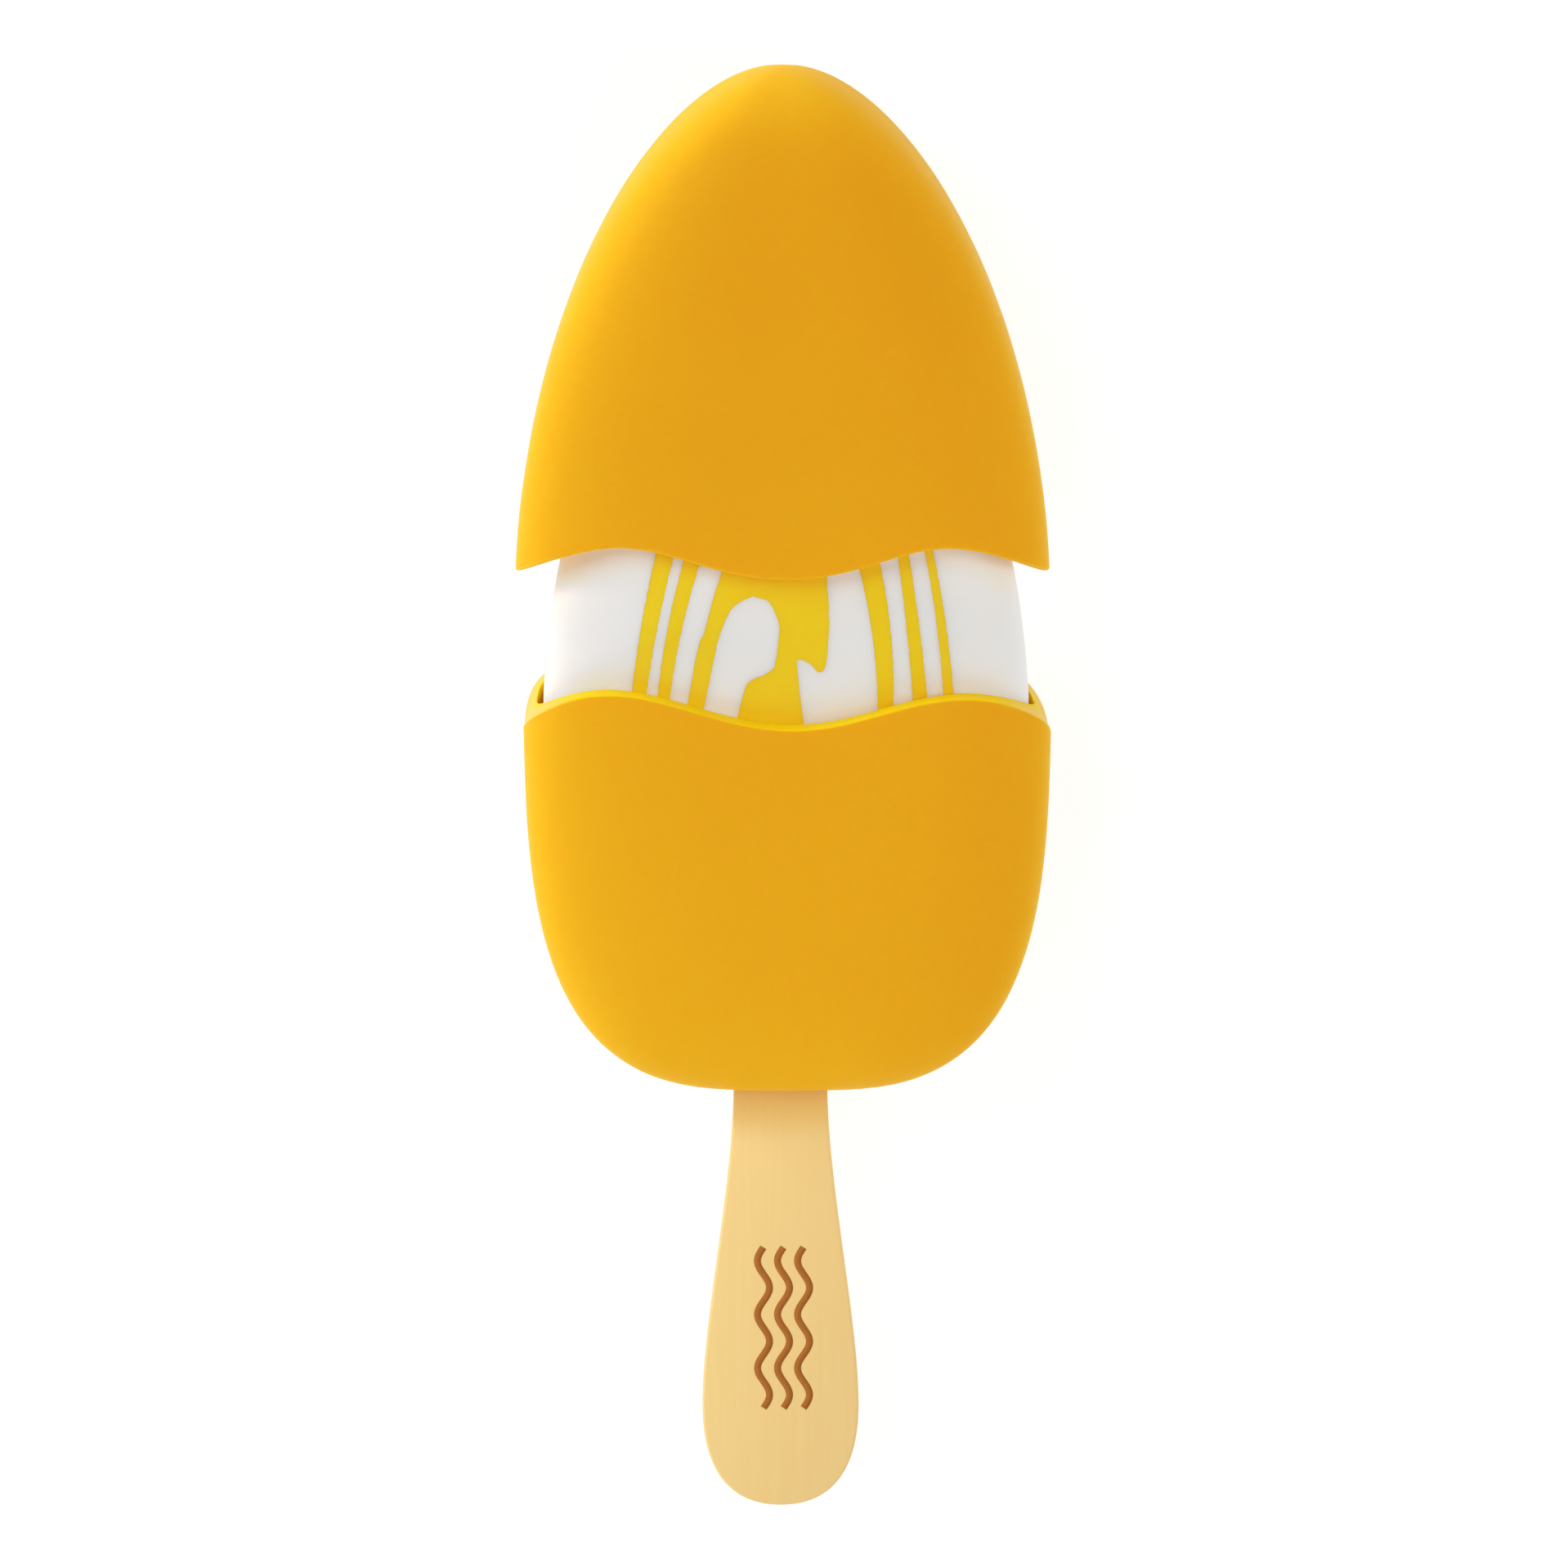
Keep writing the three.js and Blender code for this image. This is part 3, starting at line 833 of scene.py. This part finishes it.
def shell_piece(name, form, inner, end, cut_mean, waves, outer_round, cut_light_share, material):
    """A shell piece from one end of a form to the wavy cut, hollow down to the inner form.

    The share before the material is how much of the cut colour's painted light, and of its frost, the
    cut face gets. The rings run from the end over the outside, the outer edge, the cut face and the
    inner edge to the hollow's end."""
    shell = settings().shell
    angles = even_angles(SHELL_AROUND, shell.half_width, shell.half_thickness)
    turns = np.linspace(0, math.tau, SHELL_AROUND, endpoint=False)
    cut = cut_stations(cut_mean, waves, turns)
    towards_end = math.copysign(1, end - cut_mean)
    outer_end, inner_end = end, inner.tip if towards_end > 0 else inner.foot
    outer_edge = form.ring(cut, angles)
    inner_cut = cut_inside(form, cut_mean, waves, angles, inner.ring(cut, angles))
    inner_edge = inner.ring(inner_cut, angles)
    across = inner_edge - outer_edge
    wall = np.linalg.norm(across, axis=1, keepdims=True)
    across /= wall

    rings, marks = [], {"cut": [], "frost": [], "relief": []}
    aside = np.abs(outer_edge[:, 0] - form.x) / form.half_width
    sides = np.clip((aside - FROST_FROM) / FROST_RISE, 0, 1)

    def add_ring(ring, is_cut, relief, frost=0.0):
        rings.append(ring)
        lift = np.clip((ring[:, 2] + form.rest) / RELIEF_RISE, 0, 1)
        # The cut mark carries the cut colour's painted light, in the share given for this piece.
        marks["cut"].append(np.full(len(ring), cut_light_share * float(is_cut)))
        marks["frost"].append(cut_light_share * frost * sides)
        marks["relief"].append(relief * lift)

    quarter = np.linspace(0, math.pi / 2, OUTER_ROWS + 1)
    last = cut + towards_end * outer_round
    for share in 1 - np.cos(quarter):
        add_ring(form.ring(outer_end + (last - outer_end) * share, angles), 0, 1)
    for turn in np.linspace(0, math.pi / 2, ROUND_ROWS + 1)[1:]:
        y = cut + towards_end * outer_round * (1 - math.sin(turn))
        ring = form.ring(y, angles) + across * outer_round * (1 - math.cos(turn))
        add_ring(ring, turn > math.pi / 4, EDGE_RELIEF, 1)
    inner_start = wall - shell.inner_round
    for share in np.linspace(0, 1, FACE_ROWS + 1)[1:]:
        depth = outer_round + (inner_start - outer_round) * share
        add_ring(outer_edge + across * depth, 1, EDGE_RELIEF, 1 - share**2)
    for turn in np.linspace(0, math.pi / 2, ROUND_ROWS + 1)[1:]:
        y = inner_cut + towards_end * shell.inner_round * (1 - math.cos(turn))
        ring = inner.ring(y, angles) - across * shell.inner_round * (1 - math.sin(turn))
        add_ring(ring, 1, 0)
    first = inner_cut + towards_end * shell.inner_round
    for share in np.sin(np.linspace(0, math.pi / 2, INNER_ROWS + 1))[1:]:
        add_ring(inner.ring(first + (inner_end - first) * share, angles), 1, 0)
    piece = new_piece(name, closed_skin(name, to_frame(rings), marks))
    return run_tree(
        piece, relief_tree(), {"Depth": shell.relief, "Grain": SHELL_GRAIN, "Material": material}
    )


def boolean(piece, other, operation):
    """Cuts or keeps what a piece shares with another."""
    modifier = piece.modifiers.new(operation, "BOOLEAN")
    modifier.operation = operation
    modifier.object = other
    modifier.solver = "EXACT"
    return keep_result(piece)


def drop(*pieces):
    """Removes helper pieces."""
    for piece in pieces:
        bpy.data.objects.remove(piece)


def prism(name, outline, low, high, material=None):
    """A closed upright prism over an outline of (x, y) points."""
    shape = bmesh.new()
    base = shape.faces.new([shape.verts.new((x, y, low)) for x, y in outline])
    raised = bmesh.ops.extrude_face_region(shape, geom=[base])["geom"]
    for part in raised:
        if isinstance(part, bmesh.types.BMVert):
            part.co.z = high
    bmesh.ops.recalc_face_normals(shape, faces=shape.faces)
    mesh = bpy.data.meshes.new(name)
    shape.to_mesh(mesh)
    shape.free()
    return new_piece(name, mesh, material)


# ---- the stick ----


def bezier(start, leave, arrive, end, steps):
    """Points of a cubic curve after its start."""
    t = np.linspace(0, 1, steps + 1)[1:, None]
    start, leave, arrive, end = (np.array(p, float) for p in (start, leave, arrive, end))
    s = 1 - t
    return s**3 * start + 3 * s * s * t * leave + 3 * s * t * t * arrive + t**3 * end


def stick_outline(grow=0.0):
    """The flared stick's outline, larger all round by grow, in the frame's place."""
    stick = settings().stick
    neck, flare, end = stick.neck + grow, stick.flare + grow, STICK_END - grow
    top_centre = STICK_TOP - stick.neck
    top_steps, side_steps, handle_steps = 33, 32, 28
    turn = np.linspace(0, math.pi, top_steps)
    top = np.stack([neck * np.cos(turn), top_centre + neck * np.sin(turn)], axis=1)
    foot = (0, end)
    widest = STICK_FLARE_AT
    left = [
        bezier((-neck, 0), (-neck, NECK_BEND), (-flare, FLARE_BEND), (-flare, widest), side_steps),
        bezier((-flare, widest), (-flare, HANDLE_BEND), (-END_BEND, end), foot, handle_steps),
    ]
    right = [
        bezier(foot, (END_BEND, end), (flare, HANDLE_BEND), (flare, widest), handle_steps),
        bezier((flare, widest), (flare, FLARE_BEND), (neck, NECK_BEND), (neck, 0), side_steps),
    ]
    points = np.concatenate([top, [(-neck, 0)], *left, *right])
    origin = shell_origin()
    return points + np.array([STICK_X + origin.x, origin.y])


def stick_slot(clearance=0.03 * MM):
    """The room that the stick takes in the cup and the core."""
    low, high = STICK_LOW.z - clearance, STICK_HIGH.z + clearance
    return prism("stick_slot", stick_outline(clearance), low, high)


# ---- the core and its ripples ----

# The narrow ripples, in mm: their places across at the top and the bottom of the band that shows, how
# far the middle bows to the right, and their widths at the bottom and the top.
STREAKS = {
    "ripple_left_outer": {"high": -11.9, "low": -14.2, "bow": -0.2, "widths": (1.4, 1.7)},
    "ripple_left_inner": {"high": -9.2, "low": -11.8, "bow": -0.3, "widths": (1.2, 1.55)},
    "ripple_right_inner": {"high": 7.9, "low": 9.45, "bow": 0.35, "widths": (1.55, 2.05)},
    "ripple_right_middle": {"high": 11.25, "low": 12.75, "bow": 0.1, "widths": (1.4, 1.1)},
    "ripple_right_outer": {"high": 13.8, "low": 15.5, "bow": 0.2, "widths": (1.0, 0.8)},
}
STREAK_DEPTH = 40.0  # a streak's depth in its own widths, which reaches through the core


def streak_prism(name, number, material):
    """One streak as a prism through the core, by Geometry Nodes."""
    streak, ripples, origin = STREAKS[name], settings().ripples, shell_origin()
    span = STREAK_HIGH - STREAK_LOW

    def at(y):
        share = (y - STREAK_LOW) / span
        x = streak["low"] + (streak["high"] - streak["low"]) * share
        return (origin.x + RIPPLE_X + x * MM, origin.y + y, origin.z), share

    (low, low_share), (high, high_share) = at(RIPPLE_LOW), at(RIPPLE_HIGH)
    widths = [
        (streak["widths"][0] + (streak["widths"][1] - streak["widths"][0]) * share) * MM
        for share in (low_share, high_share)
    ]
    # The bow is given over the band that shows; the same parabola runs on to the hidden ends.
    whole_bow = streak["bow"] * MM * 4 * (high_share - low_share) ** 2
    sag = [streak["bow"] * MM * 4 * share * (1 - share) for share in (low_share, high_share)]
    piece = new_piece(name, bpy.data.meshes.new(name))
    run_tree(
        piece,
        streak_tree(),
        {
            "Low": (low[0] + sag[0], *low[1:]),
            "High": (high[0] + sag[1], *high[1:]),
            "Bow": whole_bow,
            "Width low": widths[0],
            "Width high": widths[1],
            "Depth ratio": STREAK_DEPTH,
            "Wander": 2 * ripples.wander,
            "Wander size": ripples.wander_size,
            "Seed": float(ripples.seed + 10 * number),
            "Material": material,
        },
    )
    face_outwards(piece.data)
    return piece


def spline(points, steps):
    """A Catmull-Rom curve through points, without its first point."""
    points = np.array(points, float)
    out = []
    for i in range(len(points) - 1):
        p0, p1, p2 = points[max(i - 1, 0)], points[i], points[i + 1]
        p3 = points[min(i + 2, len(points) - 1)]
        t = np.linspace(0, 1, steps + 1)[1:, None]
        v0, v1 = (p2 - p0) / 2, (p3 - p1) / 2
        cubic, square = 2 * p1 - 2 * p2 + v0 + v1, 3 * p2 - 3 * p1 - 2 * v0 - v1
        out.append(cubic * t**3 + square * t**2 + v0 * t + p1)
    return np.concatenate(out)


CENTRE_STEPS = 14  # points of the broad ripple's outline from one given point to the next


def centre_outline():
    """The broad middle ripple: an arm on the left, round a thumb of white, and a trunk on the right
    with a small white tooth in its lower edge. A run of points is one smooth stretch, in mm."""
    low, high = RIPPLE_LOW / MM, RIPPLE_HIGH / MM
    runs = [
        [(-4.2, high), (-6.2, 54.9), (-7.1, 52), (-7.9, 49), (-8.7, 46.4), (-10.8, low)],
        [(-10.8, low), (-9.2, low)],
        [(-9.2, low), (-7.75, 42.4), (-6.9, 46.6), (-6.3, 49), (-5.1, 51.4), (-3.2, 52.45)],
        [(-3.2, 52.45), (-1.7, 51.8), (-0.78, 49.6), (-0.95, 47), (-1.25, 45.4)],
        [(-1.25, 45.4), (-2.1, 44.75), (-3.5, 44.1), (-4.3, 42.4), (-6.1, low)],
        [(-6.1, low), (2.4, low)],
        [(2.4, low), (1.4, 41.6), (1.05, 44.9), (0.95, 46.1)],
        [(0.95, 46.1), (1.45, 46.2), (2.25, 45.75), (3.15, 44.95), (3.75, 45.9), (4, 48.6)],
        [(4, 48.6), (4, 51.5), (3.8, 54.5), (3.7, high)],
        [(3.7, high), (-4.2, high)],
    ]
    points = np.concatenate([spline(run, CENTRE_STEPS) for run in runs])
    ripples, origin = settings().ripples, shell_origin()
    size = ripples.wander_size / MM
    noise.seed_set(ripples.seed)  # without it, noise_vector takes its seed from the clock
    for point in points:
        sample = Vector((point[0] / size, point[1] / size, 0))
        point += np.array(noise.noise_vector(sample)[:2]) * ripples.centre_wander / MM
    return points * MM + np.array([RIPPLE_X + origin.x, origin.y])


def ripple_prisms(material):
    """Every ripple as a prism through the whole core, by its node's name."""
    origin, reach = shell_origin(), 2 * settings().core.half_thickness
    prisms = {name: streak_prism(name, number, material) for number, name in enumerate(STREAKS)}
    prisms["ripple_centre"] = prism(
        "ripple_centre", centre_outline(), origin.z - reach, origin.z + reach, material
    )
    return prisms


CORE_AROUND = 240  # points round the core, and rows along it
CORE_ROWS = 100
CORE_GRAIN = 3 * MM  # size of one unevenness of the ice cream


def core_block(material):
    """The whole core, before the ripples and the stick take their place in it."""
    core, form = settings().core, core_form()
    angles = even_angles(CORE_AROUND, settings().shell.half_width, settings().shell.half_thickness)
    share = (1 - np.cos(np.linspace(0, math.pi, CORE_ROWS + 1))) / 2
    rings = [form.ring(form.foot + (form.tip - form.foot) * s, angles) for s in share]
    marks = {"relief": [np.ones(len(ring)) for ring in rings]}
    piece = new_piece("core", closed_skin("core", to_frame(rings), marks))
    return run_tree(
        piece, relief_tree(), {"Depth": core.relief, "Grain": CORE_GRAIN, "Material": material}
    )


# ---- operators ----


class FRUITPOP_OT_shell(Operator):
    """Build the cap and the cup of fruit ice"""

    bl_idname = "fruitpop.shell"
    bl_label = "Build the shell"

    def execute(self, context):
        shell, core = settings().shell, settings().core
        if core.half_width + core.fit + core.mouth_slack >= shell.half_width:
            raise ValueError("The core leaves no wall at the cup's mouth")
        ice = fruit_ice()
        cap_form = shell_form(CAP_X, CAP_WIDEST, shell.cap_half_width)
        cup_form = shell_form(CUP_X, CUP_WIDEST, shell.half_width)
        cap = shell_piece(
            "fruit_ice_cap",
            cap_form,
            core_form().grown(core.fit),
            cap_form.tip,
            shell.cut_mean + shell.pull,
            CAP_CUT_WAVES,
            shell.cap_round,
            CAP_CUT_LIGHT,
            ice,
        )
        cup = shell_piece(
            "fruit_ice_cup",
            cup_form,
            core_form().grown(core.fit, core.mouth_slack),
            cup_form.foot,
            shell.cut_mean,
            CUP_CUT_WAVES,
            shell.cup_round,
            CUP_CUT_LIGHT,
            ice,
        )
        slot = stick_slot()
        boolean(cup, slot, "DIFFERENCE")
        drop(slot)
        for piece, node in ((cap, "shell_cap"), (cup, "shell_cup")):
            shade(piece)
            mount_on_frame(piece, "shell", node)
        return {"FINISHED"}


class FRUITPOP_OT_core(Operator):
    """Build the white core, with slots for the ripples and the stick"""

    bl_idname = "fruitpop.core"
    bl_label = "Build the core"

    def execute(self, context):
        if settings().core.half_thickness <= STICK_HIGH.z - shell_origin().z:
            raise ValueError("The core is thinner than the stick in it")
        piece = core_block(milk_ice())
        slot = stick_slot()
        prisms = list(ripple_prisms(None).values())
        for cutter in [slot, *prisms]:
            boolean(piece, cutter, "DIFFERENCE")
        drop(slot, *prisms)
        piece.name = "milk_ice_core"
        shade(piece)
        mount_on_frame(piece, "core", "core")
        return {"FINISHED"}


class FRUITPOP_OT_ripples(Operator):
    """Build the fruit ripples that run through the core"""

    bl_idname = "fruitpop.ripples"
    bl_label = "Build the ripples"

    def execute(self, context):
        if settings().ripples.wander_size <= 0:
            raise ValueError("The ripples' wander needs a size above zero")
        ripple = fruit_ripple()
        block = core_block(ripple)
        for name, piece in ripple_prisms(ripple).items():
            boolean(piece, block, "INTERSECT")
            piece.name = name.replace("ripple", "fruit_ripple")
            shade(piece)
            mount_on_frame(piece, "ripple", name)
        drop(block)
        return {"FINISHED"}


class FRUITPOP_OT_stick(Operator):
    """Build the birch stick"""

    bl_idname = "fruitpop.stick"
    bl_label = "Build the stick"

    def execute(self, context):
        stick = settings().stick
        if 2 * stick.edge >= STICK_HIGH.z - STICK_LOW.z:
            raise ValueError("The stick is too thin for the rounding of its edges")
        piece = prism("birch_stick", stick_outline(), STICK_LOW.z, STICK_HIGH.z, bare_birch())
        bevel = piece.modifiers.new("Edges", "BEVEL")
        bevel.width = stick.edge
        bevel.segments = 4
        bevel.limit_method = "ANGLE"
        bevel.angle_limit = math.radians(60)
        keep_result(piece)
        shade(piece, 30)
        mount_on_frame(piece, "stick", "stick")
        return {"FINISHED"}


class FRUITPOP_OT_print(Operator):
    """Print wavy lines on the stick's handle"""

    bl_idname = "fruitpop.print"
    bl_label = "Print the stick"

    def execute(self, context):
        ink, origin = settings().print, shell_origin()
        if ink.lines < 1:
            raise ValueError("The print needs at least one line")
        middle_x = origin.x + STICK_X + ink.aside
        middle_y = origin.y - ink.below_shell
        start_x = middle_x - ink.spacing * (ink.lines - 1) / 2
        piece = new_piece("wavy_print", bpy.data.meshes.new("wavy_print"))
        run_tree(
            piece,
            print_tree(),
            {
                "Start": (start_x, middle_y - ink.half_length, STICK_HIGH.z),
                "End": (start_x, middle_y + ink.half_length, STICK_HIGH.z),
                "Lines": ink.lines,
                "Spacing": ink.spacing,
                "Waves": ink.waves,
                "Swing": ink.swing,
                "Width": ink.width,
                "Film": 2 * ink.film,
                "Material": food_ink(),
            },
        )
        mount_on_frame(piece, "stick")
        return {"FINISHED"}


class FRUITPOP_OT_stage(Operator):
    """Set the pale floor, the soft lights and the camera"""

    bl_idname = "fruitpop.stage"
    bl_label = "Set the stage"

    def execute(self, context):
        scene, stage = context.scene, settings().stage
        if min(stage.view_width, stage.distance) <= 0:
            raise ValueError("The view needs a width and a distance above zero")
        scene.view_settings.view_transform = "Standard"
        set_response(scene.view_settings)
        corners = [(-1, -1), (1, -1), (1, 1), (-1, 1)]
        outline = [(x * FLOOR_HALF, y * FLOOR_HALF) for x, y in corners]
        floor = prism("floor", outline, -FLOOR_THICKNESS, 0.0, pale_board())

        world = bpy.data.worlds.new("Studio")
        world.use_nodes = True
        room = world.node_tree.nodes["Background"]
        set_inputs(room, Color=(1, 1, 1, 1), Strength=ROOM_LIGHT)
        scene.world = world

        origin = shell_origin()
        target = origin + Vector((0, stage.centre, 0))
        for box in LIGHTS:
            add_softbox(target, *box)

        lens = bpy.data.cameras.new("camera")
        lens.lens = lens.sensor_width * stage.distance / stage.view_width
        lens.clip_start, lens.clip_end = CAMERA_REACH
        camera = bpy.data.objects.new("camera", lens)
        scene.collection.objects.link(camera)
        back = Vector((0, math.sin(stage.tilt), math.cos(stage.tilt)))
        camera.matrix_world = Matrix.Translation(target + back * stage.distance) @ Matrix.Rotation(
            -stage.tilt, 4, "X"
        )
        scene.camera = camera
        return {"FINISHED"}


FLOOR_HALF = 2.0  # metres
FLOOR_THICKNESS = 0.02
ROOM_LIGHT = 0.05
CAMERA_REACH = (0.01, 20)  # nearest and farthest metres that it sees

# How bright light is shown: as it is up to two thirds, then in a soft shoulder to white.
RESPONSE_WHITE = 1.15
RESPONSE = ((0.35, 0.35), (0.60, 0.605), (0.74, 0.735), (0.85, 0.79), (0.97, 0.86), (1.06, 0.93))


def set_response(view):
    """Sets the view's response curve."""
    view.use_curve_mapping = True
    mapping = view.curve_mapping
    mapping.white_level = (RESPONSE_WHITE,) * 3
    combined = mapping.curves[3]
    for light, shown in RESPONSE:
        combined.points.new(light / RESPONSE_WHITE, shown)
    mapping.update()


# Softboxes: name, azimuth from +Y towards +X and elevation in degrees, distance, width and height in
# metres, and watts. Long low strips light the sides, and the two near boxes each lift one spot.
LIGHTS = (
    ("left_strip", -60, 8, 0.7, 0.4, 0.12, 1.95),
    ("high_left_box", -40, 45, 0.7, 0.4, 0.35, 2.3),
    ("tip_strip", -15, 8, 0.7, 0.4, 0.12, 0.98),
    ("right_strip", 90, 5, 0.7, 0.4, 0.12, 0.36),
    ("lower_right_box", 135, 35, 0.7, 0.4, 0.35, 0.97),
    ("near_right_box", 80, 38.0, 0.195, 0.1, 0.1, 0.115),
    ("stick_box", 180, 20, 0.7, 0.4, 0.35, 0.42),
    ("lower_left_strip", -135, 10, 0.7, 0.4, 0.12, 1.85),
    ("near_cup_box", -146.3, 54.2, 0.123, 0.08, 0.08, 0.034),
)


def add_softbox(target, name, azimuth, elevation, distance, width, height, watts):
    """A rectangular area light that faces the target."""
    light = bpy.data.lights.new(name, "AREA")
    light.shape = "RECTANGLE"
    light.energy, light.size, light.size_y = watts, width, height
    box = bpy.data.objects.new(name, light)
    bpy.context.scene.collection.objects.link(box)
    turn, rise = math.radians(azimuth), math.radians(elevation)
    away = Vector(
        (math.sin(turn) * math.cos(rise), math.cos(turn) * math.cos(rise), math.sin(rise))
    )
    box.location = target + away * distance
    box.rotation_euler = (-away).to_track_quat("-Z", "Z").to_euler()
    box.visible_camera = False


# Each step with the name of its settings.
STEPS = {
    "stage": FRUITPOP_OT_stage,
    "shell": FRUITPOP_OT_shell,
    "core": FRUITPOP_OT_core,
    "ripples": FRUITPOP_OT_ripples,
    "stick": FRUITPOP_OT_stick,
    "print": FRUITPOP_OT_print,
}


class FRUITPOP_PT_panel(Panel):
    """The pop's settings and steps in the 3D view's sidebar"""

    bl_idname = "FRUITPOP_PT_panel"
    bl_label = "Fruit ice pop"
    bl_space_type = "VIEW_3D"
    bl_region_type = "UI"
    bl_category = "Ice pop"

    def draw(self, context):
        for name, step in STEPS.items():
            group = getattr(context.scene.fruit_pop, name)
            box = self.layout.box()
            for setting in type(group).__annotations__:
                box.prop(group, setting)
            box.operator(step.bl_idname)


CLASSES = (
    ShellSettings,
    CoreSettings,
    RippleSettings,
    StickSettings,
    PrintSettings,
    StageSettings,
    PopSettings,
    *STEPS.values(),
    FRUITPOP_PT_panel,
)


def register():
    for cls in CLASSES:
        bpy.utils.register_class(cls)
    bpy.types.Scene.fruit_pop = PointerProperty(type=PopSettings)


def unregister():
    del bpy.types.Scene.fruit_pop
    for cls in reversed(CLASSES):
        bpy.utils.unregister_class(cls)


def main():
    """Registers the add-on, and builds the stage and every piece."""
    register()
    bpy.ops.fruitpop.stage()
    bpy.ops.fruitpop.shell()
    bpy.ops.fruitpop.core()
    bpy.ops.fruitpop.ripples()
    bpy.ops.fruitpop.stick()
    bpy.ops.fruitpop.print()


if __name__ == "__main__":
    main()
